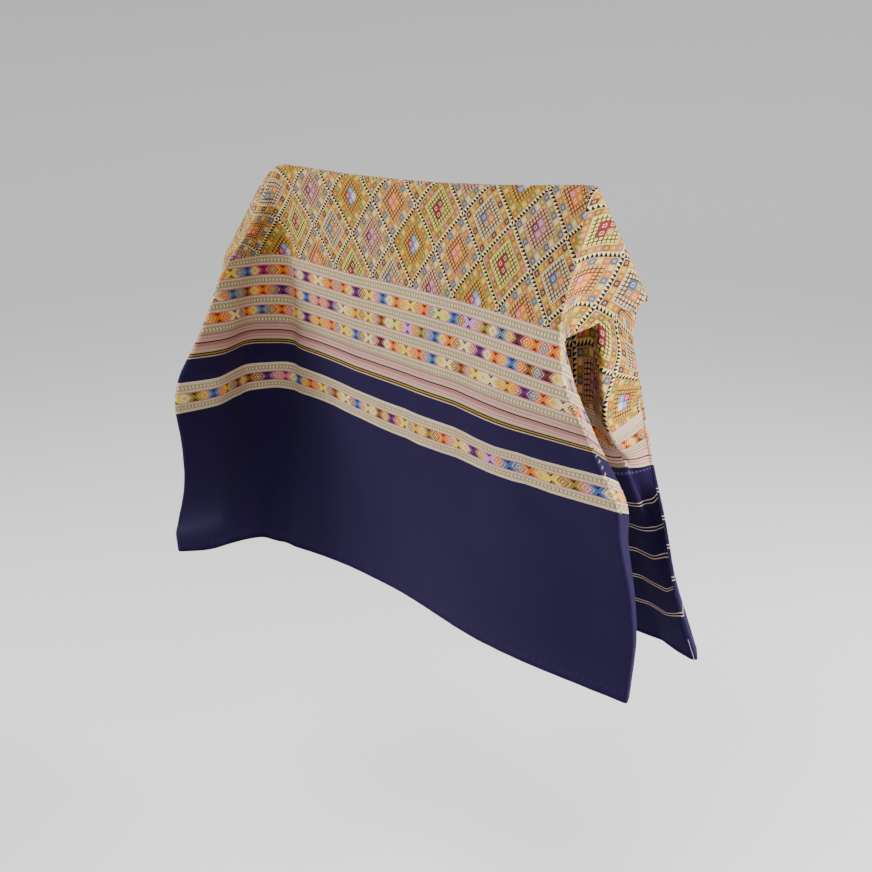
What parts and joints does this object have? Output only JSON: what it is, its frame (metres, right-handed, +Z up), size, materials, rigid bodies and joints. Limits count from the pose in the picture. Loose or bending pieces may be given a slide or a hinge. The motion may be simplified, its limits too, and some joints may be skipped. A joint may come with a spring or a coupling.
{
  "type": "tube skirt",
  "caption": "Woven cloth tube skirt folded once over a level rail, patterned foot end in front, waist end behind, both ends drooping past the rail.",
  "frame": {"origin": "underside of the cloth in the middle of its ridge, where the rail carries it", "axes": "+X along the ridge, -Y towards the foot end that hangs in front, +Z up"},
  "size_m": [0.6947, 0.3021, 0.5115],
  "materials": {
    "foot_cloth": "matt, slightly glossy silk floats",
    "body_cloth": "matt"
  },
  "bodies": {
    "root": {"foot_panel_front_outer": "foot_cloth", "foot_panel_front_inner": "foot_cloth", "foot_panel_back_outer": "foot_cloth", "foot_panel_back_inner": "foot_cloth", "body_panel_outer": "body_cloth", "body_panel_inner": "body_cloth"}
  },
  "joints": []
}
